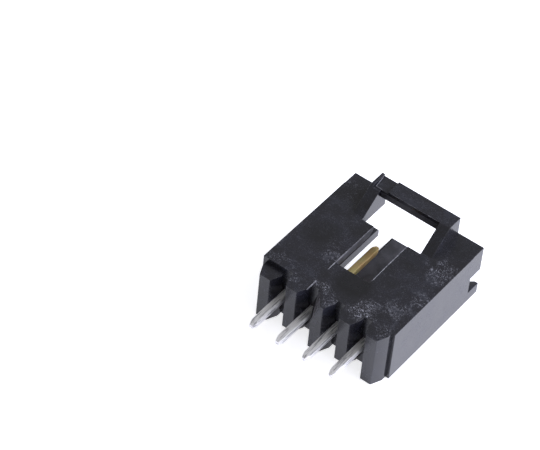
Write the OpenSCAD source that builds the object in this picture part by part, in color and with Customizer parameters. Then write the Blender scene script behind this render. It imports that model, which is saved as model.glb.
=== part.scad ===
// Straight single-row pin header with a latching shroud, lying on its slotted face.
// X runs along the contact row, +Y is the mating direction, +Z leaves the latch face.
// The origin is under the middle of the whole part.

/* [Contacts] */
// Distance between the centres of neighbouring contacts
pitch = 2.54; // [2.5:0.01:5]
// Number of contacts in the row
contacts = 4; // [3:1:10]
// Side of the square contact pin
pin_w = 0.6; // [0.4:0.01:0.66]
// Chamfer along the four long edges of a pin
pin_edge = 0.08; // [0.02:0.01:0.12]
// Room between a pin and its passage, each side
pin_clear = 0.01; // [0.005:0.005:0.04]
// Reach of the solder tails past the board plane
tail_length = 3.2; // [2:0.1:6]
// Length of the taper at the end of a tail
tail_taper = 0.6; // [0.3:0.1:1.5]
// Width left at the blunt end of a tail
tail_tip_w = 0.3; // [0.1:0.05:0.35]
// Distance of the mating tips below the mouth
tip_depth = 3.5; // [1:0.1:6]
// Length of the taper at a mating tip
tip_taper = 0.5; // [0.2:0.1:1]
// Width left at a mating tip
tip_w = 0.3; // [0.1:0.05:0.35]

/* [Body] */
// Height of the mouth above the board plane
mating_height = 13.5; // [12:0.1:20]
// Distance between the two broad faces
body_t = 5.08; // [4.6:0.02:7]
// Length of the body past the centre of each end contact
end_margin = 2.5; // [2.3:0.05:4]

/* [Socket] */
// Depth of the socket from the mouth to its floor
socket_depth = 9; // [7:0.05:9.6]
// Thickness of the wall that carries the latch window
front_wall = 0.8; // [0.6:0.05:1.2]
// Thickness of the slotted wall
back_wall = 0.87; // [0.7:0.01:1.2]
// Thickness of the two end walls
end_wall = 0.8; // [0.6:0.05:1.2]
// Width of the lead-in bevel round the mouth
lead_in_w = 0.5; // [0.2:0.05:0.55]
// Length of the lead-in bevel round the mouth
lead_in_l = 0.42; // [0.2:0.02:1.2]

/* [Latch window] */
// Width of the window
window_w = 5.64; // [4:0.02:6.5]
// Length of the window from the mouth
window_l = 3.86; // [3.7:0.02:5]
// Bevel on the inner edge of the window's closed side
window_bevel = 0.45; // [0.2:0.05:0.6]
// Widening of the window at the mouth, each side
window_flare_w = 0.43; // [0.1:0.01:0.5]
// Length over which the window widens
window_flare_l = 0.6; // [0.2:0.05:1]
// Width of the slot from the window to the socket floor
stem_w = 3.3; // [2:0.05:3.8]

/* [Latch bridge] */
// Width of each ear beside the window
ear_w = 0.98; // [0.7:0.02:1.1]
// Rise of the bridge above the latch face
bridge_h = 1.68; // [1.3:0.02:2.5]
// Thickness of the bar across the window
bar_t = 0.98; // [0.6:0.02:1.2]
// Depth of the bar in the mating direction
bar_l = 1.48; // [1:0.02:1.6]
// Length of the ramp behind each ear
ramp_l = 2.2; // [1:0.05:2.3]
// Height of the lead-in bevel under the bar
bar_bevel_h = 0.35; // [0.1:0.05:0.5]
// Length of the lead-in bevel under the bar
bar_bevel_l = 0.8; // [0.2:0.05:0.95]
// Width of the channel that marks the first contact
mark_w = 1.35; // [0.6:0.05:1.6]
// Depth of that channel
mark_d = 0.2; // [0.1:0.05:0.4]
// Strip of the bar left outside that channel
mark_margin = 0.28; // [0.1:0.02:0.5]

/* [Key slots] */
// Width of the two slots through the back wall
key_w = 1.38; // [0.8:0.02:1.6]
// Corner chamfer of those slots at the mouth
key_chamfer = 0.25; // [0.1:0.05:0.3]
// Depth of the groove that carries each slot on to the board side
groove_d = 0.5; // [0.2:0.05:0.8]

/* [End notches] */
// Height of the notches above the slotted face
notch_z = 1; // [0.9:0.05:1.8]
// Opening of the notches
notch_h = 1.6; // [0.8:0.05:1.7]
// Depth of the notches from the mouth
notch_l = 1.45; // [0.8:0.05:2.5]
// Set-back of the end faces above the notches
end_step = 0.03; // [0.02:0.01:0.1]

/* [Standoffs] */
// Height of the standoffs
standoff_h = 1.42; // [1.1:0.02:2]
// Width of a standoff where it meets the board
standoff_tip_w = 1; // [0.5:0.02:1.2]
// Width of a standoff at its root
standoff_w = 1.84; // [1.3:0.02:1.9]
// Distance over which a standoff widens from tip to root
standoff_taper = 0.95; // [0.2:0.05:1.2]
// Drop of the first standoff's top below the latch face
first_drop = 0.45; // [0.2:0.05:1]

/* [Hidden] */
// Stations along Y
total_l = mating_height + tail_length;
mouth_y = total_l / 2;
board_y = mouth_y - mating_height;
tail_end_y = board_y - tail_length;
body_y = board_y + standoff_h;
floor_y = mouth_y - socket_depth;
tip_y = mouth_y - tip_depth;
window_y = mouth_y - window_l;
bar_y = mouth_y - bar_l;
ramp_y = bar_y - ramp_l;
notch_y = mouth_y - notch_l;

// Stations along X and Z
body_w = (contacts - 1) * pitch + 2 * end_margin;
socket_w = body_w - 2 * end_wall;
bridge_w = window_w + 2 * ear_w;
mark_x = mark_margin - bridge_w / 2;
pin_z = body_t / 2;
socket_top = body_t - front_wall;
bridge_top = body_t + bridge_h;
bar_z = bridge_top - bar_t;
notch_top = notch_z + notch_h;

// Overshoot of the cutting shapes, and the sink of what grows out of the body
cut = 0.5;
sink = 0.3;

// X of contact i, counted from 1
function contact_x(i) = (i - (contacts + 1) / 2) * pitch;

// X of standoff i, counted from 0: one on each side of every contact
function standoff_x(i) = (i - contacts / 2) * pitch;

// The key slots lie between the last two contacts at each end, in line with a standoff
function over_key(i) = i == 1 || i == contacts - 1;

// Square of side w with its corners cut by e
function cut_square(w, e) = [
    for (s = [[1, 1], [-1, 1], [-1, -1], [1, -1]])
        for (k = s.x * s.y > 0 ? [0, e] : [e, 0])
            [s.x * (w / 2 - k), s.y * (w / 2 - (e - k))]
];

// Outline of a pin along Y and across it, narrowed at both ends
function pin_profile() = [
    [tail_end_y, -tail_tip_w / 2],
    [tail_end_y + tail_taper, -pin_w / 2],
    [tip_y - tip_taper, -pin_w / 2],
    [tip_y, -tip_w / 2],
    [tip_y, tip_w / 2],
    [tip_y - tip_taper, pin_w / 2],
    [tail_end_y + tail_taper, pin_w / 2],
    [tail_end_y, tail_tip_w / 2]
];

// Opening of width w from y0 to the mouth and past it, each side widened by flare over the last stretch
function mouth_outline(y0, w, flare, stretch) = [
    [-w / 2, y0],
    [w / 2, y0],
    [w / 2, mouth_y - stretch],
    [w / 2 + flare, mouth_y],
    [w / 2 + flare, mouth_y + cut],
    [-w / 2 - flare, mouth_y + cut],
    [-w / 2 - flare, mouth_y],
    [-w / 2, mouth_y - stretch]
];

// An XY outline raised from z0 to z1
module plan_prism(outline, z0, z1) {
    translate([0, 0, z0])
        linear_extrude(z1 - z0)
            polygon(outline);
}

// A YZ outline drawn out over the width w, centred on X
module side_prism(outline, w) {
    translate([-w / 2, 0, 0])
        rotate([90, 0, 90])
            linear_extrude(w)
                polygon(outline);
}

// An XZ outline drawn out from y0 to y1
module row_prism(outline, y0, y1) {
    translate([0, y1, 0])
        rotate([90, 0, 0])
            linear_extrude(y1 - y0)
                polygon(outline);
}

// Box between two corners
module span(low, high) {
    translate(low)
        cube(high - low);
}

// Rectangular body before it is opened
module body_block() {
    span([-body_w / 2, body_y, 0], [body_w / 2, mouth_y, body_t]);
}

// Row of feet that hold the body off the board; the one by the first contact is lower
module standoffs() {
    foot = [
        [-standoff_w / 2, body_y + sink],
        [-standoff_w / 2, board_y + standoff_taper],
        [-standoff_tip_w / 2, board_y],
        [standoff_tip_w / 2, board_y],
        [standoff_w / 2, board_y + standoff_taper],
        [standoff_w / 2, body_y + sink]
    ];
    for (i = [0 : contacts])
        translate([standoff_x(i), 0, 0])
            plan_prism(foot, over_key(i) ? groove_d : 0, i == 0 ? body_t - first_drop : body_t);
}

// Block of the latch bridge: level over the bar, ramped behind it
module bridge_block() {
    side_prism([
        [ramp_y, body_t - sink],
        [mouth_y, body_t - sink],
        [mouth_y, bridge_top],
        [bar_y, bridge_top],
        [ramp_y, body_t]
    ], bridge_w);
}

// Cavity for the mating plug, bevelled open at the mouth on all four sides
module socket() {
    half = (socket_top - back_wall) / 2;
    middle = back_wall + half;
    intersection() {
        plan_prism(mouth_outline(floor_y, socket_w, lead_in_w, lead_in_l), 0, body_t);
        side_prism(
            [for (p = mouth_outline(floor_y, 2 * half, lead_in_w, lead_in_l)) [p.y, p.x + middle]],
            body_w
        );
    }
}

// Window in the front wall, running on under the bar to the mouth and open above it behind the bar
module window() {
    intersection() {
        plan_prism(
            mouth_outline(window_y - window_bevel, window_w, window_flare_w, window_flare_l),
            0,
            bridge_top + cut
        );
        side_prism([
            [window_y - window_bevel, socket_top - cut],
            [mouth_y + cut, socket_top - cut],
            [mouth_y + cut, bar_z + bar_bevel_h],
            [mouth_y, bar_z + bar_bevel_h],
            [mouth_y - bar_bevel_l, bar_z],
            [bar_y, bar_z],
            [bar_y, bridge_top + cut],
            [window_y, bridge_top + cut],
            [window_y, socket_top + window_bevel],
            [window_y - window_bevel, socket_top]
        ], body_w);
    }
}

// Slot that carries the window on to the socket floor
module window_stem() {
    span([-stem_w / 2, floor_y, socket_top - cut], [stem_w / 2, window_y + cut, body_t + cut]);
}

// Slots through the back wall, with a shallower groove on to the board side
module key_slots() {
    for (i = [1, contacts - 1])
        translate([standoff_x(i), 0, 0]) {
            plan_prism(mouth_outline(floor_y, key_w, key_chamfer, key_chamfer), -cut, back_wall + cut);
            span([-key_w / 2, body_y - cut, -cut], [key_w / 2, floor_y + cut, groove_d]);
        }
}

// Passages through the base, shaped to the pins
module pin_passages() {
    for (i = [1 : contacts])
        translate([contact_x(i), 0, pin_z])
            row_prism(cut_square(pin_w + 2 * pin_clear, pin_edge), body_y - cut, floor_y + cut);
}

// Notches at the mouth of both end walls, with the end faces stepped back above them
module end_notches() {
    for (side = [0, 1])
        mirror([side, 0, 0]) {
            span([socket_w / 2 - cut, notch_y, notch_z], [body_w / 2 + cut, mouth_y + cut, notch_top]);
            span([body_w / 2 - end_step, notch_y, notch_top], [body_w / 2 + cut, mouth_y + cut, body_t + cut]);
        }
}

// Channel across the bar over the first contact
module first_contact_mark() {
    span([mark_x, ramp_y, bridge_top - mark_d], [mark_x + mark_w, mouth_y + cut, bridge_top + cut]);
}

module housing() {
    color("#2a2a2d")
        difference() {
            union() {
                body_block();
                standoffs();
                bridge_block();
            }
            socket();
            window();
            window_stem();
            key_slots();
            pin_passages();
            end_notches();
            first_contact_mark();
        }
}

module contact_pin(i) {
    color("#d2cdc0")
        translate([contact_x(i), 0, 0])
            intersection() {
                translate([0, 0, pin_z])
                    row_prism(cut_square(pin_w, pin_edge), tail_end_y, tip_y);
                translate([0, 0, pin_z])
                    side_prism(pin_profile(), 2 * pin_w);
                plan_prism([for (p = pin_profile()) [p.y, p.x]], 0, body_t);
            }
}

housing();
for (i = [1 : contacts]) contact_pin(i);
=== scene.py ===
"""Looks of a straight single-row pin header with a latching shroud, lying on its slotted face.

X runs along the contact row, +Y is the mating direction, +Z leaves the latch face. Sizes are in
millimetres and turned to metres by MM.
"""

import math

import bmesh
import bpy
from mathutils import Matrix, Vector


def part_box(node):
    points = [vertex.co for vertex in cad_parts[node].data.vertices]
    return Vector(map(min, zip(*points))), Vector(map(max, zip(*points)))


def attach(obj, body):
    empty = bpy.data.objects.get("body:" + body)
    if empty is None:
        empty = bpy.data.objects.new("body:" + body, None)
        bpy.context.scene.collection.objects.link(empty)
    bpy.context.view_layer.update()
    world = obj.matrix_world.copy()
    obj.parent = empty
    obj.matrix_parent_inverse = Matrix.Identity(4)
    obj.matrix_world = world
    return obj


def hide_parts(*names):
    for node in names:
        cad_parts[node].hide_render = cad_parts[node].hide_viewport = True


MM = 0.001

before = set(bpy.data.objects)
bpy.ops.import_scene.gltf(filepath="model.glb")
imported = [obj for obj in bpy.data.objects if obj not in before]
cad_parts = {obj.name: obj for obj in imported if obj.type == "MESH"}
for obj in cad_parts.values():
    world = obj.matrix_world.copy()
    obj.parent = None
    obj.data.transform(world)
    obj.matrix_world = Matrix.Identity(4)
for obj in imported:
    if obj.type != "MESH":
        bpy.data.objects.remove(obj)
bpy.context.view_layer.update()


# Sizes that the frame gives

housing_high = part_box("housing")[1]
pin_names = sorted(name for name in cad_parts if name.startswith("contact_pin_"))
pin_low, pin_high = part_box(pin_names[0])
pin_width = pin_high.x - pin_low.x
pin_height = (pin_low.z + pin_high.z) / 2
row_start = (pin_low.x + pin_high.x) / 2
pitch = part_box(pin_names[1])[0].x - pin_low.x


# Sizes of the pieces

# Rounding of the housing's outer edges, for edges that are sharp enough and have no narrow face beside them
EDGE_RADIUS = 0.03 * MM
EDGE_SEGMENTS = 3
SHARP_ANGLE = math.radians(25)
NARROW = 0.14 * MM

# Angles up to which two faces are shaded as one surface, across an outer and across an inner edge
ROUND_STEP = math.radians(40)
INNER_STEP = math.radians(8)

# How near two points lie, and how flat two faces meet, where they are joined into one
WELD = 0.0002 * MM
FLAT_ANGLE = math.radians(0.5)

# Pins: their edges, the rings along each, and the ends, which round off by a power to a share of the width
PIN_EDGE = 0.1 * MM
PIN_EDGE_SEGMENTS = 4
PIN_RINGS = 110
TAIL_TAPER = 0.62 * MM
TAIL_TIP_SHARE = 0.5
MATING_TAPER = 0.5 * MM
MATING_TIP_SHARE = 0.5
TIP_ROUNDING = 1.5


# Places on the latch face, as millimetres along the row and from the mouth towards the board

# Height of the latch face above the slotted face
BODY_TOP = 5.08 * MM


def on_face(across, from_mouth, above=0.0):
    """The point of the latch face at a place along the row and a distance from the mouth, in mm."""
    return Vector((across * MM, housing_high.y - from_mouth * MM, BODY_TOP + above * MM))


# The torn slope that the gate left on the middle standoff: three points of its plane
GATE_ROOT = on_face(-0.8, 12.08)
GATE_FRONT = on_face(0.2, 13.5)
GATE_FOOT = on_face(-0.5, 13.5, above=-2.2)
GATE_SLOPE = (GATE_FOOT - GATE_ROOT).cross(GATE_FRONT - GATE_ROOT).normalized()

# What is cut off there: how thick it is, how far it passes the root, the top and the front, its rear height
GATE_DEPTH = 0.8 * MM
GATE_BEHIND = 0.02 * MM
GATE_ABOVE = 0.1 * MM
GATE_PAST_FRONT = 0.2 * MM
GATE_REAR_DROP = 0.6 * MM

# How far from the middle of the slope a face can be torn
GATE_NEAR = 2.0 * MM

# Threads of flash along the seams of the mould's inserts, pale enough to paint the highlights of the edges
# they follow: radius in mm, then the path
FLASH = (
    (0.04, (on_face(-1.65, 3.95), on_face(-1.65, 7.0))),
    (0.065, (on_face(-1.65, 6.8), on_face(-1.65, 9.0), on_face(-1.64, 10.0))),
    (0.05, (on_face(1.6, 3.95), on_face(1.62, 6.4), on_face(1.66, 8.75))),
    (0.07, (on_face(-1.61, 12.78), on_face(-1.62, 11.5))),
    (
        0.045,
        (on_face(-3.53, 0.06, above=1.6), on_face(-3.36, 1.44, above=1.52), on_face(-2.7, 1.47, above=1.5)),
    ),
    # Along the bar's rear top edge: a pale line that is mostly a painted edge highlight
    (0.02, (on_face(-2.1, 1.48, above=1.65), on_face(2.75, 1.48, above=1.65))),
)

# Step from point to point of a thread, how far it wanders and over what length, and the sides of its section
FLASH_STEP = 0.05 * MM
FLASH_WANDER = 0.03 * MM
FLASH_WAVE = 0.35 * MM
FLASH_SIDES = 8

# Least and greatest share of a thread's radius, and how its ends thin out: over what part, to what share
FLASH_UNEVEN = (0.45, 1.1)
FLASH_END_PART = 0.12
FLASH_END_SHARE = 0.2

# Patches of the latch face painted darker, a painted shade where that face shows less sheen, with few specks:
# place, radius in mm, share
SHADED_PATCHES = (
    (on_face(0.9, 10.0), 2.2, 0.85),
    (on_face(-4.3, 7.3), 1.8, 0.6),
    (on_face(5.1, 1.5), 1.3, 0.5),
    (on_face(2.7, 5.2), 1.2, 0.4),
)

# Patches of the latch face where the fibres show and painted glints of its uneven skin lie: place, radius in
# mm, share of specks
SPECK_AND_GLINT_PATCHES = (
    (on_face(2.95, 11.7), 1.8, 1.0),
    (on_face(4.85, 10.0), 1.1, 0.7),
    (on_face(5.7, 8.1), 0.75, 0.6),
    (on_face(5.55, 4.1), 1.9, 0.7),
    (on_face(0.4, 12.4), 1.0, 0.5),
    (on_face(-0.95, 11.6), 0.7, 1.0),
    (on_face(-3.1, 7.5), 1.1, 0.4),
    (on_face(-2.3, 8.5), 0.9, 0.5),
    (on_face(-3.3, 12.4), 0.7, 0.4),
    (on_face(-5.5, 11.4), 1.3, 0.4),
    (on_face(5.2, 12.4), 1.0, 0.45),
    (on_face(-5.4, 1.6), 1.5, 0.35),
)

# Share of specks, fibre and painted glints, on the rest of that face
FAINT_SPECKS_AND_GLINTS = 0.1

# Part of a patch's radius in which it is full, and how far the noise of the blotches pushes its border about
PATCH_CORE = 0.4
RAGGED = 4.0 * MM

# Boxes round the faces that the slot insert forms, which are rougher and painted lighter as painted light:
# the slot with what shows through it, the bar's rear
INSERT_AND_PAINTED_LIGHT_BOXES = (
    (on_face(-1.72, 8.8, above=-4.98), on_face(1.72, -0.1, above=-0.03)),
    (on_face(-2.82, 1.56, above=0.6), on_face(2.82, 1.43, above=1.3)),
)


# Small helpers

def linear(hex_colour):
    """The linear RGBA of an sRGB hex value."""
    channels = [int(hex_colour[i:i + 2], 16) / 255 for i in (1, 3, 5)]
    return tuple(c / 12.92 if c <= 0.04045 else ((c + 0.055) / 1.055) ** 2.4 for c in channels) + (1.0,)


def grey(value):
    """The RGBA of a linear grey."""
    return (value, value, value, 1.0)


def add(tree, kind, inputs=None, stops=(), **settings):
    """Adds a node to a tree, with its settings, its socket values, its links and the stops of its ramp."""
    made = tree.nodes.new(kind)
    for name, value in settings.items():
        setattr(made, name, value)
    for socket, value in (inputs or {}).items():
        if isinstance(value, bpy.types.NodeSocket):
            tree.links.new(value, made.inputs[socket])
        else:
            made.inputs[socket].default_value = value
    for i, (place, colour) in enumerate(stops):
        elements = made.color_ramp.elements
        element = elements[i] if i < len(elements) else elements.new(place)
        element.position, element.color = place, colour
    return made


def new_material(name):
    """An empty material with its tree."""
    material = bpy.data.materials.new(name)
    material.use_nodes = True
    material.node_tree.nodes.clear()
    return material, material.node_tree


def new_tree(name, sizes, takes_geometry=False):
    """An empty geometry tree with a named input for each size, and the sockets that give them."""
    tree = bpy.data.node_groups.new(name, "GeometryNodeTree")
    if takes_geometry:
        tree.interface.new_socket("Geometry", in_out="INPUT", socket_type="NodeSocketGeometry")
    for size_name, size in sizes.items():
        socket = tree.interface.new_socket(size_name, in_out="INPUT", socket_type="NodeSocketFloat")
        socket.default_value = size
    tree.interface.new_socket("Geometry", in_out="OUTPUT", socket_type="NodeSocketGeometry")
    return tree, add(tree, "NodeGroupInput").outputs


def end_tree(tree, geometry, material):
    """Ends a geometry tree: its instances are made real, get their material and are given out."""
    solid = add(tree, "GeometryNodeRealizeInstances", {"Geometry": geometry})
    painted = add(
        tree, "GeometryNodeSetMaterial", {"Geometry": solid.outputs["Geometry"], "Material": material},
    )
    add(tree, "NodeGroupOutput", {"Geometry": painted.outputs["Geometry"]})


# Nylon

# Sizes of the patterns. Real fibres and draw marks are some hundredths of a millimetre wide and wouldn't
# show, so the grain and the marks are drawn this coarse.
BLOTCH_SIZE = 1.5 * MM
GRAIN_SIZE = 0.15 * MM
DRAW_MARK_WIDTH = 0.14 * MM
DRAW_MARK_STRETCH = 20.0

# Depth of the relief, and the shares of it that the draw marks, the grain and the specks take
RELIEF = 0.06 * MM
DRAW_MARK_RELIEF = 0.03
GRAIN_RELIEF = 0.02
SPECK_RELIEF = 0.5

# What the slot insert adds to the roughness
INSERT_ROUGHNESS = 0.2


def patch_share(tree, place, blotch, patches, elsewhere):
    """The largest share that ragged round patches of the latch face have at each point."""
    total = elsewhere
    for centre, radius, share in patches:
        away = add(tree, "ShaderNodeVectorMath", {0: place, 1: centre}, operation="DISTANCE")
        ragged = add(
            tree, "ShaderNodeMath", {0: blotch, 1: -RAGGED, 2: away.outputs["Value"]},
            operation="MULTIPLY_ADD",
        )
        inside = add(
            tree, "ShaderNodeMapRange",
            {
                "Value": ragged.outputs["Value"],
                "From Min": radius * MM - RAGGED / 2, "From Max": PATCH_CORE * radius * MM - RAGGED / 2,
                "To Min": 0.0, "To Max": share,
            },
            interpolation_type="SMOOTHSTEP",
        )
        total = add(
            tree, "ShaderNodeMath", {0: inside.outputs["Result"], 1: total}, operation="MAXIMUM",
        ).outputs["Value"]
    return total


def speck_and_glint_share(tree, place, facing, blotch, smooth):
    """How thickly the specks of fibre and painted glints lie: in patches of what looks up, broken by
    blotches, not in the patches of painted shade.
    """
    share = patch_share(tree, place, blotch, SPECK_AND_GLINT_PATCHES, FAINT_SPECKS_AND_GLINTS)
    coarse = add(tree, "ShaderNodeMath", {0: 1.0, 1: smooth}, operation="SUBTRACT").outputs["Value"]
    upward = add(
        tree, "ShaderNodeMapRange",
        {
            "Value": add(tree, "ShaderNodeSeparateXYZ", {"Vector": facing}).outputs["Z"],
            "From Min": 0.6, "From Max": 0.9, "To Min": 0.0, "To Max": 1.0,
        },
    ).outputs["Result"]
    broken = add(
        tree, "ShaderNodeMapRange",
        {"Value": blotch, "From Min": 0.4, "From Max": 0.56, "To Min": 0.4, "To Max": 1.0},
    ).outputs["Result"]
    for limit in (coarse, upward, broken):
        share = add(tree, "ShaderNodeMath", {0: share, 1: limit}, operation="MULTIPLY").outputs["Value"]
    return share


def insert_and_painted_light_share(tree, place):
    """1 on the faces that the slot insert forms, rougher and painted lighter there as painted light, 0
    elsewhere.
    """
    total = 0.0
    for low, high in INSERT_AND_PAINTED_LIGHT_BOXES:
        away = add(tree, "ShaderNodeVectorMath", {0: place, 1: (low + high) / 2}, operation="SUBTRACT")
        away = add(tree, "ShaderNodeVectorMath", {0: away.outputs["Vector"]}, operation="ABSOLUTE")
        past = add(
            tree, "ShaderNodeVectorMath", {0: away.outputs["Vector"], 1: (high - low) / 2},
            operation="SUBTRACT",
        )
        past = add(tree, "ShaderNodeSeparateXYZ", {"Vector": past.outputs["Vector"]}).outputs
        furthest = add(tree, "ShaderNodeMath", {0: past["X"], 1: past["Y"]}, operation="MAXIMUM")
        furthest = add(
            tree, "ShaderNodeMath", {0: furthest.outputs["Value"], 1: past["Z"]}, operation="MAXIMUM",
        )
        within = add(tree, "ShaderNodeMath", {0: furthest.outputs["Value"], 1: 0.0}, operation="LESS_THAN")
        total = add(
            tree, "ShaderNodeMath", {0: within.outputs["Value"], 1: total}, operation="MAXIMUM",
        ).outputs["Value"]
    return total


def gate_share(tree, place, facing):
    """1 on the torn slope that the gate left, 0 elsewhere."""
    turned = add(tree, "ShaderNodeVectorMath", {0: facing, 1: GATE_SLOPE}, operation="DOT_PRODUCT")
    sloping = add(
        tree, "ShaderNodeMapRange",
        {
            "Value": turned.outputs["Value"],
            "From Min": 0.965, "From Max": 0.985, "To Min": 0.0, "To Max": 1.0,
        },
    )
    middle = (GATE_ROOT + GATE_FOOT) / 2
    away = add(tree, "ShaderNodeVectorMath", {0: place, 1: middle}, operation="DISTANCE")
    near = add(tree, "ShaderNodeMath", {0: away.outputs["Value"], 1: GATE_NEAR}, operation="LESS_THAN")
    return add(
        tree, "ShaderNodeMath", {0: sloping.outputs["Result"], 1: near.outputs["Value"]},
        operation="MULTIPLY",
    ).outputs["Value"]


def moulded_nylon():
    """Black glass-filled nylon, injection moulded in a spark-eroded tool.

    The carbon black leaves almost no body colour, so the eye sees a glossy skin that mirrors the pale
    floor at low angles, blue-black blotches where the fibres come near the surface, pale specks of
    fibre in patches of the latch face that also stand as painted glints of its uneven skin, patches of
    painted shade where that face shows less sheen, fine draw marks on the fronts, and torn, whitened
    plastic at the gate. The faces that the slot insert forms are coarser, and are painted greyer as a
    painted light that brightens the slot and the bar's rear.
    """
    material, tree = new_material("moulded_black_nylon")
    coordinates = add(tree, "ShaderNodeTexCoord").outputs
    place, facing = coordinates["Object"], coordinates["Normal"]

    blotch = add(
        tree, "ShaderNodeTexNoise",
        {"Vector": place, "Scale": 1 / BLOTCH_SIZE, "Detail": 5.0, "Roughness": 0.62, "Distortion": 0.4},
    ).outputs["Fac"]
    grain = add(
        tree, "ShaderNodeTexNoise",
        {"Vector": place, "Scale": 1 / GRAIN_SIZE, "Detail": 3.0, "Roughness": 0.65, "Distortion": 1.4},
    ).outputs["Fac"]
    drawn = add(
        tree, "ShaderNodeMapping", {"Vector": place, "Scale": (1.0, 1.0, 1 / DRAW_MARK_STRETCH)},
    ).outputs["Vector"]
    draw_marks = add(
        tree, "ShaderNodeTexNoise",
        {"Vector": drawn, "Scale": 1 / DRAW_MARK_WIDTH, "Detail": 2.0, "Roughness": 0.5},
    ).outputs["Fac"]

    # Where the face is painted darker as shade, where the insert formed it and it is painted lighter,
    # where specks of fibre and painted glints lie, and where the gate tore it
    smooth = patch_share(tree, place, blotch, SHADED_PATCHES, 0.0)
    insert_and_painted_light = insert_and_painted_light_share(tree, place)
    uneven = add(
        tree, "ShaderNodeMapRange",
        {"Value": blotch, "From Min": 0.38, "From Max": 0.6, "To Min": 0.3, "To Max": 1.0},
    )
    painted_light = add(tree, "ShaderNodeMath", {0: insert_and_painted_light, 1: uneven.outputs["Result"]}, operation="MULTIPLY")
    crowded = speck_and_glint_share(tree, place, facing, blotch, smooth)
    fibre = add(
        tree, "ShaderNodeMapRange",
        {"Value": grain, "From Min": 0.53, "From Max": 0.67, "To Min": 0.0, "To Max": 1.0},
    )
    specks_and_glints = add(tree, "ShaderNodeMath", {0: crowded, 1: fibre.outputs["Result"]}, operation="MULTIPLY")
    gate = gate_share(tree, place, facing)
    torn = add(tree, "ShaderNodeMath", {0: gate, 1: draw_marks}, operation="MULTIPLY")

    colour = add(
        tree, "ShaderNodeValToRGB", {"Fac": blotch},
        stops=((0.36, linear("#1b1b20")), (0.5, linear("#1e1e25")), (0.64, linear("#22232c"))),
    ).outputs["Color"]
    # Mixed in: darker patches as painted shade, the insert's faces painted lighter as painted light, pale
    # specks of fibre and painted glints, and the gate's whitened tear
    for share, hex_colour in (
        (smooth, "#0f0f12"),
        (painted_light.outputs["Value"], "#46464d"),
        (specks_and_glints.outputs["Value"], "#9c9da9"),
        (torn.outputs["Value"], "#8a888f"),
    ):
        colour = add(
            tree, "ShaderNodeMix", {"Factor": share, "A": colour, "B": linear(hex_colour)}, data_type="RGBA",
        ).outputs["Result"]

    rough = add(
        tree, "ShaderNodeMapRange",
        {"Value": blotch, "From Min": 0.35, "From Max": 0.65, "To Min": 0.21, "To Max": 0.29},
    )
    rough = add(
        tree, "ShaderNodeMath", {0: insert_and_painted_light, 1: INSERT_ROUGHNESS, 2: rough.outputs["Result"]},
        operation="MULTIPLY_ADD",
    )
    speckled = add(tree, "ShaderNodeMath", {0: grain, 1: crowded}, operation="MULTIPLY")
    height = 0.0
    for pattern, share in (
        (draw_marks, DRAW_MARK_RELIEF),
        (grain, GRAIN_RELIEF),
        (speckled.outputs["Value"], SPECK_RELIEF),
    ):
        height = add(
            tree, "ShaderNodeMath", {0: pattern, 1: share, 2: height}, operation="MULTIPLY_ADD",
        ).outputs["Value"]
    bump = add(tree, "ShaderNodeBump", {"Height": height, "Strength": 1.0, "Distance": RELIEF})
    shader = add(
        tree, "ShaderNodeBsdfPrincipled",
        {
            "Base Color": colour,
            "IOR": 1.5,
            "Roughness": rough.outputs["Value"],
            "Normal": bump.outputs["Normal"],
        },
    )
    add(tree, "ShaderNodeOutputMaterial", {"Surface": shader.outputs["BSDF"]})
    return material


# Flash

FLASH_TONE_SIZE = 0.4 * MM


def pale_flash_and_highlight():
    """Flash of the same nylon.

    It is so thin that it has gone pale and dull, palest where it is most stretched. The pale colour also
    paints the highlights of the edges that the threads follow.
    """
    material, tree = new_material("nylon_flash_and_painted_highlight")
    place = add(tree, "ShaderNodeTexCoord").outputs["Object"]
    stretch = add(
        tree, "ShaderNodeTexNoise",
        {"Vector": place, "Scale": 1 / FLASH_TONE_SIZE, "Detail": 3.0, "Roughness": 0.6},
    ).outputs["Fac"]
    colour = add(
        tree, "ShaderNodeValToRGB", {"Fac": stretch},
        stops=((0.35, linear("#4c4c54")), (0.5, linear("#65656d")), (0.65, linear("#7c7c84"))),
    )
    rough = add(
        tree, "ShaderNodeMapRange",
        {"Value": stretch, "From Min": 0.35, "From Max": 0.65, "To Min": 0.35, "To Max": 0.5},
    )
    shader = add(
        tree, "ShaderNodeBsdfPrincipled",
        {"Base Color": colour.outputs["Color"], "IOR": 1.5, "Roughness": rough.outputs["Result"]},
    )
    add(tree, "ShaderNodeOutputMaterial", {"Surface": shader.outputs["BSDF"]})
    return material


# Plating

# Where tin changes to gold
PLATING_CHANGE = -2.0 * MM

# Sizes of the patterns. Real draw lines are far finer and wouldn't show, so they are drawn this coarse.
DRAW_LINE_WIDTH = 0.15 * MM
DRAW_LINE_STRETCH = 12.5
DRAW_LINE_RELIEF = 0.008 * MM
GOLD_CLOUD_SIZE = 1.3 * MM

# Thin gold: how far from the tip it begins and is at its thinnest, and how much shows through there
THIN_GOLD_START = 2.6 * MM
THIN_GOLD_FULL = 1.0 * MM
THIN_GOLD_SHARE = 0.6


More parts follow.
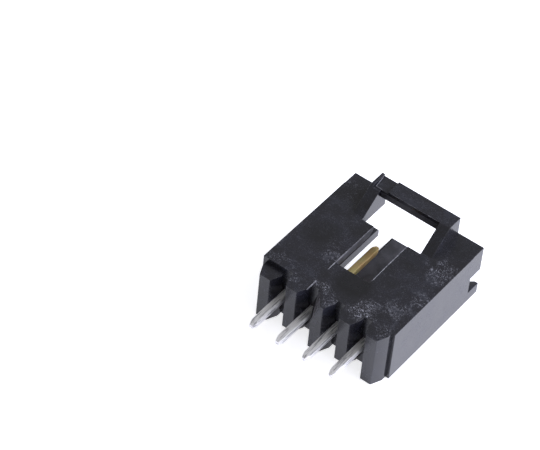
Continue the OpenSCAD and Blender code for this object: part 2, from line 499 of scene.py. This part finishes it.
def plated_contact():
    """Drawn square copper-alloy wire, matt tin on the tail and hard gold on the mating end.

    Both platings follow the lines of the drawn wire, so they blur what they mirror and show soft lines
    lengthwise. The gold is clouded, and redder towards the tip, where it is thinnest. A matt plating
    scatters part of the light, which a metallic value below 1 stands for.
    """
    material, tree = new_material("tin_and_gold_plate")
    place = add(tree, "ShaderNodeTexCoord").outputs["Object"]
    along = add(tree, "ShaderNodeSeparateXYZ", {"Vector": place}).outputs["Y"]
    gold_share = add(
        tree, "ShaderNodeMath", {0: along, 1: PLATING_CHANGE}, operation="GREATER_THAN",
    ).outputs["Value"]
    stretched = add(
        tree, "ShaderNodeMapping", {"Vector": place, "Scale": (1.0, 1 / DRAW_LINE_STRETCH, 1.0)},
    ).outputs["Vector"]
    draw_lines = add(
        tree, "ShaderNodeTexNoise",
        {"Vector": stretched, "Scale": 1 / DRAW_LINE_WIDTH, "Detail": 3.0, "Roughness": 0.6},
    ).outputs["Fac"]
    cloud = add(
        tree, "ShaderNodeTexNoise", {"Vector": place, "Scale": 1 / GOLD_CLOUD_SIZE, "Detail": 2.0},
    ).outputs["Fac"]
    tin = add(
        tree, "ShaderNodeValToRGB", {"Fac": draw_lines},
        stops=((0.38, linear("#a8a7ab")), (0.46, linear("#e6e5e7")), (0.58, linear("#f3f2f3"))),
    )
    gold = add(
        tree, "ShaderNodeValToRGB", {"Fac": cloud},
        stops=((0.36, linear("#d8b684")), (0.5, linear("#e1ca92")), (0.66, linear("#d9cf93"))),
    )
    thin = add(
        tree, "ShaderNodeMapRange",
        {
            "Value": along,
            "From Min": pin_high.y - THIN_GOLD_START, "From Max": pin_high.y - THIN_GOLD_FULL,
            "To Min": 0.0, "To Max": THIN_GOLD_SHARE,
        },
    )
    gold = add(
        tree, "ShaderNodeMix",
        {"Factor": thin.outputs["Result"], "A": gold.outputs["Color"], "B": linear("#946c45")},
        data_type="RGBA",
    )
    colour = add(
        tree, "ShaderNodeMix",
        {"Factor": gold_share, "A": tin.outputs["Color"], "B": gold.outputs["Result"]},
        data_type="RGBA",
    )
    rough = add(
        tree, "ShaderNodeMapRange",
        {"Value": draw_lines, "From Min": 0.3, "From Max": 0.7, "To Min": 0.56, "To Max": 0.72},
    )
    bump = add(
        tree, "ShaderNodeBump", {"Height": draw_lines, "Strength": 0.5, "Distance": DRAW_LINE_RELIEF},
    )
    shader = add(
        tree, "ShaderNodeBsdfPrincipled",
        {
            "Base Color": colour.outputs["Result"],
            "Metallic": 0.76,
            "Roughness": rough.outputs["Result"],
            "Normal": bump.outputs["Normal"],
        },
    )
    add(tree, "ShaderNodeOutputMaterial", {"Surface": shader.outputs["BSDF"]})
    return material


# Floor

# Its own colour, the white that the camera sees, and how brightly it shows to the camera and to reflections
FLOOR_WHITE = linear("#edeef7")
SEEN_WHITE = linear("#ffffff")
SEEN_GLOW = 0.7
MIRRORED_GLOW = 0.76


def pale_floor():
    """White sweep.

    It shows itself white to the camera and a little cool in reflections, and takes a faint shadow.
    """
    material, tree = new_material("pale_floor")
    path = add(tree, "ShaderNodeLightPath").outputs
    mirrored = add(
        tree, "ShaderNodeMath", {0: path["Is Glossy Ray"], 1: path["Is Transmission Ray"]},
        operation="MAXIMUM",
    )
    mirrored = add(
        tree, "ShaderNodeMath", {0: mirrored.outputs["Value"], 1: MIRRORED_GLOW}, operation="MULTIPLY",
    )
    glow = add(
        tree, "ShaderNodeMath",
        {0: path["Is Camera Ray"], 1: SEEN_GLOW, 2: mirrored.outputs["Value"]}, operation="MULTIPLY_ADD",
    )
    tint = add(
        tree, "ShaderNodeMix",
        {"Factor": path["Is Camera Ray"], "A": FLOOR_WHITE, "B": SEEN_WHITE}, data_type="RGBA",
    )
    emission = add(
        tree, "ShaderNodeEmission", {"Color": tint.outputs["Result"], "Strength": glow.outputs["Value"]},
    )
    diffuse = add(tree, "ShaderNodeBsdfDiffuse", {"Color": FLOOR_WHITE})
    both = add(
        tree, "ShaderNodeAddShader", {0: emission.outputs["Emission"], 1: diffuse.outputs["BSDF"]},
    )
    add(tree, "ShaderNodeOutputMaterial", {"Surface": both.outputs["Shader"]})
    return material


# Pieces

def new_object(name, data):
    """A new object at the origin, of a mesh or of a camera's or lamp's data."""
    made = bpy.data.objects.new(name, data)
    bpy.context.scene.collection.objects.link(made)
    return made


def baked(obj, name):
    """A plain mesh of an object with its modifiers applied, on a new object at the origin."""
    graph = bpy.context.evaluated_depsgraph_get()
    mesh = bpy.data.meshes.new_from_object(obj.evaluated_get(graph))
    bpy.data.objects.remove(obj)
    return new_object(name, mesh)


def grown(mesh, tree, name):
    """What a geometry tree makes of a mesh, as a plain mesh on a new object."""
    carrier = new_object(mesh.name, mesh)
    carrier.modifiers.new("tree", "NODES").node_group = tree
    return baked(carrier, name)


def gate_cut():
    """The solid beyond the gate's slope, to take off the middle standoff."""
    across = (GATE_FRONT - GATE_ROOT).normalized()
    down = across.cross(GATE_SLOPE)
    if down.z > 0:
        down = -down
    reach = (GATE_FRONT - GATE_ROOT).length + GATE_PAST_FRONT
    drop = (GATE_FOOT - GATE_ROOT).length
    corners = [
        GATE_ROOT - down * GATE_ABOVE,
        GATE_ROOT + across * reach - down * GATE_ABOVE,
        GATE_ROOT + across * reach + down * drop,
        GATE_ROOT - across * GATE_BEHIND + down * GATE_REAR_DROP,
    ]
    shape = bmesh.new()
    for corner in corners + [corner + GATE_SLOPE * GATE_DEPTH for corner in corners]:
        shape.verts.new(corner)
    bmesh.ops.convex_hull(shape, input=shape.verts)
    bmesh.ops.recalc_face_normals(shape, faces=shape.faces)
    mesh = bpy.data.meshes.new("gate_cut")
    shape.to_mesh(mesh)
    shape.free()
    return new_object("gate_cut", mesh)


def joined_faces(mesh):
    """A bmesh of a mesh with its triangles merged and joined into whole faces."""
    shape = bmesh.new()
    shape.from_mesh(mesh)
    bmesh.ops.remove_doubles(shape, verts=shape.verts, dist=WELD)
    bmesh.ops.dissolve_limit(shape, angle_limit=FLAT_ANGLE, verts=shape.verts, edges=shape.edges)
    return shape


def is_rounded(edge):
    """Whether the mould rounds an edge: it stands out, and no face beside it is a fine step."""
    if len(edge.link_faces) != 2 or not edge.is_convex or edge.calc_face_angle() < SHARP_ANGLE:
        return False
    longest = [max(side.calc_length() for side in face.edges) for face in edge.link_faces]
    return all(face.calc_area() / length > NARROW for face, length in zip(edge.link_faces, longest))


def moulded_housing(material):
    """The housing with its faces joined up again, the gate torn off and every outer edge rounded."""
    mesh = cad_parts["housing"].data.copy()
    shape = joined_faces(mesh)
    shape.to_mesh(mesh)
    shape.free()
    piece = new_object("housing_whole", mesh)
    cutter = gate_cut()
    cut = piece.modifiers.new("gate", "BOOLEAN")
    cut.object = cutter
    cut.operation = "DIFFERENCE"
    cut.solver = "EXACT"
    piece = baked(piece, "housing_sharp")
    bpy.data.objects.remove(cutter)

    # Round edges
    shape = joined_faces(piece.data)
    weight = shape.edges.layers.float.new("bevel_weight_edge")
    for edge in shape.edges:
        edge[weight] = float(is_rounded(edge))
    shape.to_mesh(piece.data)
    shape.free()
    bevel = piece.modifiers.new("edges", "BEVEL")
    bevel.limit_method = "WEIGHT"
    bevel.width = EDGE_RADIUS
    bevel.segments = EDGE_SEGMENTS
    bevel.use_clamp_overlap = False
    bevel.miter_outer = "MITER_ARC"
    piece = baked(piece, "housing_rounded")

    # Smooth shading over the rounds, flat faces kept flat
    shape = bmesh.new()
    shape.from_mesh(piece.data)
    for face in shape.faces:
        face.smooth = True
    for edge in shape.edges:
        limit = ROUND_STEP if edge.is_convex else INNER_STEP
        edge.smooth = edge.calc_face_angle(0.0) < limit
    shape.to_mesh(piece.data)
    shape.free()
    shading = piece.modifiers.new("shading", "WEIGHTED_NORMAL")
    shading.mode = "FACE_AREA"
    shading.weight = 100
    shading.keep_sharp = True
    piece = baked(piece, "moulded_housing")
    piece.data.materials.clear()
    piece.data.materials.append(material)
    return piece


def flash_tree(material):
    """Geometry nodes for the flash: an uneven thread swept along each path, thinning out at its ends."""
    sizes = {"Step": FLASH_STEP, "Wander": FLASH_WANDER}
    tree, given = new_tree("flash_threads", sizes, takes_geometry=True)

    # Fine paths that wander a little
    paths = add(tree, "GeometryNodeMeshToCurve", {"Mesh": given["Geometry"]})
    fine = add(
        tree, "GeometryNodeResampleCurve",
        {"Curve": paths.outputs["Curve"], "Length": given["Step"]}, mode="LENGTH",
    )
    place = add(tree, "GeometryNodeInputPosition").outputs["Position"]
    noise = add(
        tree, "ShaderNodeTexNoise",
        {"Vector": place, "Scale": 1 / FLASH_WAVE, "Detail": 3.0, "Roughness": 0.65},
    ).outputs
    centred = add(
        tree, "ShaderNodeVectorMath", {0: noise["Color"], 1: (0.5, 0.5, 0.5)}, operation="SUBTRACT",
    )
    drift = add(
        tree, "ShaderNodeVectorMath", {0: centred.outputs["Vector"], "Scale": given["Wander"]},
        operation="SCALE",
    )
    wandering = add(
        tree, "GeometryNodeSetPosition",
        {"Geometry": fine.outputs["Curve"], "Offset": drift.outputs["Vector"]},
    )

    # Radius along each path
    thread_radius = add(
        tree, "GeometryNodeInputNamedAttribute", {"Name": "thread_radius"}, data_type="FLOAT",
    ).outputs["Attribute"]
    part = add(tree, "GeometryNodeSplineParameter").outputs["Factor"]
    rest = add(tree, "ShaderNodeMath", {0: 1.0, 1: part}, operation="SUBTRACT").outputs["Value"]
    nearest = add(tree, "ShaderNodeMath", {0: part, 1: rest}, operation="MINIMUM").outputs["Value"]
    ends = add(
        tree, "ShaderNodeMapRange",
        {
            "Value": nearest,
            "From Min": 0.0, "From Max": FLASH_END_PART, "To Min": FLASH_END_SHARE, "To Max": 1.0,
        },
    ).outputs["Result"]
    uneven = add(
        tree, "ShaderNodeMapRange",
        {
            "Value": noise["Fac"],
            "From Min": 0.35, "From Max": 0.65, "To Min": FLASH_UNEVEN[0], "To Max": FLASH_UNEVEN[1],
        },
    ).outputs["Result"]
    radius = add(tree, "ShaderNodeMath", {0: ends, 1: uneven}, operation="MULTIPLY")
    radius = add(
        tree, "ShaderNodeMath", {0: radius.outputs["Value"], 1: thread_radius}, operation="MULTIPLY",
    )

    # Round section swept along the paths
    section = add(tree, "GeometryNodeCurvePrimitiveCircle", {"Resolution": FLASH_SIDES, "Radius": 1.0})
    threads = add(
        tree, "GeometryNodeCurveToMesh",
        {
            "Curve": wandering.outputs["Geometry"],
            "Profile Curve": section.outputs["Curve"],
            "Scale": radius.outputs["Value"],
            "Fill Caps": True,
        },
    )
    smooth = add(tree, "GeometryNodeSetShadeSmooth", {"Geometry": threads.outputs["Mesh"]})
    end_tree(tree, smooth.outputs["Geometry"], material)
    return tree


def mould_flash(material):
    """Thin pale threads of plastic along the seams of the mould's inserts, by the slot and on the bridge,
    also painting those edges' highlights.
    """
    points, edges, radii = [], [], []
    for radius, path in FLASH:
        edges += [(len(points) + i, len(points) + i + 1) for i in range(len(path) - 1)]
        points += list(path)
        radii += [radius * MM] * len(path)
    mesh = bpy.data.meshes.new("flash_paths")
    mesh.from_pydata(points, edges, [])
    mesh.attributes.new("thread_radius", "FLOAT", "POINT").data.foreach_set("value", radii)
    piece = grown(mesh, flash_tree(material), "mould_flash")
    shape = bmesh.new()
    shape.from_mesh(piece.data)
    bmesh.ops.recalc_face_normals(shape, faces=shape.faces)
    shape.to_mesh(piece.data)
    shape.free()
    return piece


def contact_row_tree(material):
    """Geometry nodes for the row: one square pin, narrowed at both ends, repeated at the pitch."""
    sizes = {
        "Pitch": pitch,
        "Pin width": pin_width,
        "Edge radius": PIN_EDGE,
        "Tail end": pin_low.y,
        "Mating end": pin_high.y,
        "Tail taper": TAIL_TAPER,
        "Tail tip share": TAIL_TIP_SHARE,
        "Mating taper": MATING_TAPER,
        "Mating tip share": MATING_TIP_SHARE,
        "Tip rounding": TIP_ROUNDING,
    }
    tree, given = new_tree("contact_row", sizes)

    # Centre line from the tail's end to the mating tip
    start = add(tree, "ShaderNodeCombineXYZ", {"Y": given["Tail end"]})
    end = add(tree, "ShaderNodeCombineXYZ", {"Y": given["Mating end"]})
    line = add(
        tree, "GeometryNodeCurvePrimitiveLine",
        {"Start": start.outputs["Vector"], "End": end.outputs["Vector"]},
    )
    rings = add(
        tree, "GeometryNodeResampleCurve", {"Curve": line.outputs["Curve"], "Count": PIN_RINGS},
    )
    upright = add(tree, "GeometryNodeSetCurveNormal", {"Curve": rings.outputs["Curve"]}, mode="Z_UP")

    # Width along that line: full in the middle, rounding off towards each end
    place = add(tree, "GeometryNodeInputPosition").outputs["Position"]
    along = add(tree, "ShaderNodeSeparateXYZ", {"Vector": place}).outputs["Y"]

    def end_share(distance, taper, tip_share):
        """Share of the full width at a distance from an end: it rounds off from 1 to the tip share."""
        part = add(
            tree, "ShaderNodeMath", {0: distance, 1: given[taper]}, operation="DIVIDE", use_clamp=True,
        ).outputs["Value"]
        left = add(tree, "ShaderNodeMath", {0: 1.0, 1: part}, operation="SUBTRACT").outputs["Value"]
        drop = add(
            tree, "ShaderNodeMath", {0: left, 1: given["Tip rounding"]}, operation="POWER",
        ).outputs["Value"]
        room = add(
            tree, "ShaderNodeMath", {0: 1.0, 1: given[tip_share]}, operation="SUBTRACT",
        ).outputs["Value"]
        loss = add(tree, "ShaderNodeMath", {0: drop, 1: room}, operation="MULTIPLY").outputs["Value"]
        return add(tree, "ShaderNodeMath", {0: 1.0, 1: loss}, operation="SUBTRACT").outputs["Value"]

    from_tail = add(tree, "ShaderNodeMath", {0: along, 1: given["Tail end"]}, operation="SUBTRACT")
    from_tip = add(tree, "ShaderNodeMath", {0: given["Mating end"], 1: along}, operation="SUBTRACT")
    share = add(
        tree, "ShaderNodeMath",
        {
            0: end_share(from_tail.outputs["Value"], "Tail taper", "Tail tip share"),
            1: end_share(from_tip.outputs["Value"], "Mating taper", "Mating tip share"),
        },
        operation="MINIMUM",
    )

    # Square section with rounded edges, swept along that line
    square = add(
        tree, "GeometryNodeCurvePrimitiveQuadrilateral",
        {"Width": given["Pin width"], "Height": given["Pin width"]},
    )
    section = add(
        tree, "GeometryNodeFilletCurve",
        {"Curve": square.outputs["Curve"], "Radius": given["Edge radius"], "Count": PIN_EDGE_SEGMENTS},
        mode="POLY",
    )
    pin = add(
        tree, "GeometryNodeCurveToMesh",
        {
            "Curve": upright.outputs["Curve"],
            "Profile Curve": section.outputs["Curve"],
            "Scale": share.outputs["Value"],
            "Fill Caps": True,
        },
    )

    # The row
    step = add(tree, "ShaderNodeCombineXYZ", {"X": given["Pitch"]})
    places = add(
        tree, "GeometryNodeMeshLine",
        {
            "Count": len(pin_names),
            "Start Location": (row_start, 0.0, pin_height),
            "Offset": step.outputs["Vector"],
        },
    )
    row = add(
        tree, "GeometryNodeInstanceOnPoints",
        {"Points": places.outputs["Mesh"], "Instance": pin.outputs["Mesh"]},
    )
    end_tree(tree, row.outputs["Instances"], material)
    return tree


def contact_row(material):
    """All the pins of the row, as one plain mesh."""
    piece = grown(bpy.data.meshes.new("contact_row"), contact_row_tree(material), "contact_pins")
    shape = bmesh.new()
    shape.from_mesh(piece.data)
    bmesh.ops.remove_doubles(shape, verts=shape.verts, dist=WELD)
    bmesh.ops.recalc_face_normals(shape, faces=shape.faces)
    for face in shape.faces:
        face.smooth = True
    shape.to_mesh(piece.data)
    shape.free()
    return piece


# Camera, floor and light

CAMERA_AZIMUTH = math.radians(33.35)
CAMERA_ELEVATION = math.radians(46.17)
CAMERA_ROLL = math.radians(5.7)
CAMERA_AIM = Vector((-10.602 * MM, housing_high.y - 5.095 * MM, 0.0))
CAMERA_DISTANCE = 219.0 * MM
CAMERA_NEAR = 10.0 * MM
CAMERA_LENS = 180.0
SENSOR_WIDTH = 36.0

# How far the floor reaches each way, and how far it lies below the part
FLOOR_REACH = 2.0
FLOOR_GAP = 0.01 * MM

WORLD_STRENGTH = 0.9
LAMP_DISTANCE = 0.9
LAMP_COLOUR = (0.88, 0.9, 1.0)


def towards(azimuth, elevation):
    """The direction at an azimuth, counted from the front to the right, and an elevation, in radians."""
    return Vector((
        math.sin(azimuth) * math.cos(elevation),
        -math.cos(azimuth) * math.cos(elevation),
        math.sin(elevation),
    ))


def photo_camera():
    """Camera at the photograph's viewing angle: a long lens from the front right, above."""
    back = towards(CAMERA_AZIMUTH, CAMERA_ELEVATION)
    level_right = Vector((math.cos(CAMERA_AZIMUTH), math.sin(CAMERA_AZIMUTH), 0.0))
    level_up = back.cross(level_right)
    right = level_right * math.cos(CAMERA_ROLL) + level_up * math.sin(CAMERA_ROLL)
    up = back.cross(right)
    data = bpy.data.cameras.new("photo_camera")
    data.lens = CAMERA_LENS
    data.sensor_fit = "HORIZONTAL"
    data.sensor_width = SENSOR_WIDTH
    data.clip_start = CAMERA_NEAR
    camera = new_object("photo_camera", data)
    turn = Matrix((right, up, back)).transposed().to_4x4()
    camera.matrix_world = Matrix.Translation(CAMERA_AIM + back * CAMERA_DISTANCE) @ turn
    bpy.context.scene.camera = camera


def floor(material):
    """The sweep that the part lies on, a hair below it so that no two faces share a plane."""
    mesh = bpy.data.meshes.new("floor")
    sides = ((-1, -1), (1, -1), (1, 1), (-1, 1))
    corners = [(x * FLOOR_REACH, y * FLOOR_REACH, -FLOOR_GAP) for x, y in sides]
    mesh.from_pydata(corners, [], [(0, 1, 2, 3)])
    mesh.materials.append(material)
    made = new_object("floor", mesh)


def studio_world():
    """A light tent: white round the horizon, greyer overhead."""
    world = bpy.data.worlds.new("light_tent")
    bpy.context.scene.world = world
    world.use_nodes = True
    tree = world.node_tree
    tree.nodes.clear()
    direction = add(tree, "ShaderNodeTexCoord").outputs["Generated"]
    height = add(tree, "ShaderNodeSeparateXYZ", {"Vector": direction}).outputs["Z"]
    colour = add(
        tree, "ShaderNodeValToRGB", {"Fac": height},
        stops=((0.0, grey(0.95)), (0.36, grey(0.85)), (0.6, grey(0.4)), (1.0, grey(0.42))),
    )
    background = add(
        tree, "ShaderNodeBackground", {"Color": colour.outputs["Color"], "Strength": WORLD_STRENGTH},
    )
    add(tree, "ShaderNodeOutputWorld", {"Surface": background.outputs["Background"]})


def softbox(name, azimuth, elevation, size, power, mirrored):
    """An area lamp that faces the part from a direction given as for the camera, in degrees.

    One that isn't mirrored stays out of reflections, so that no flat face shows it and clips to white.
    """
    back = towards(math.radians(azimuth), math.radians(elevation))
    data = bpy.data.lights.new(name, "AREA")
    data.shape = "RECTANGLE"
    data.size, data.size_y = size
    data.energy = power
    data.color = LAMP_COLOUR
    lamp = new_object(name, data)
    lamp.location = back * LAMP_DISTANCE
    lamp.rotation_euler = back.to_track_quat("Z", "Y").to_euler()
    lamp.visible_glossy = mirrored


photo_camera()
studio_world()

# The key light is two lamps, and only the weaker one shows in reflections
softbox("key_softbox", azimuth=130, elevation=30, size=(0.8, 0.8), power=10.0, mirrored=False)
softbox("mirrored_softbox", azimuth=120, elevation=28, size=(1.2, 0.8), power=6.3, mirrored=True)
floor(pale_floor())

nylon = moulded_nylon()
plate = plated_contact()

housing = moulded_housing(nylon)
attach(housing, "root")
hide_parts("housing")

flash = mould_flash(pale_flash_and_highlight())
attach(flash, "root")

pins = contact_row(plate)
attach(pins, "root")
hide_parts(*pin_names)

bpy.context.scene.view_settings.view_transform = "Standard"
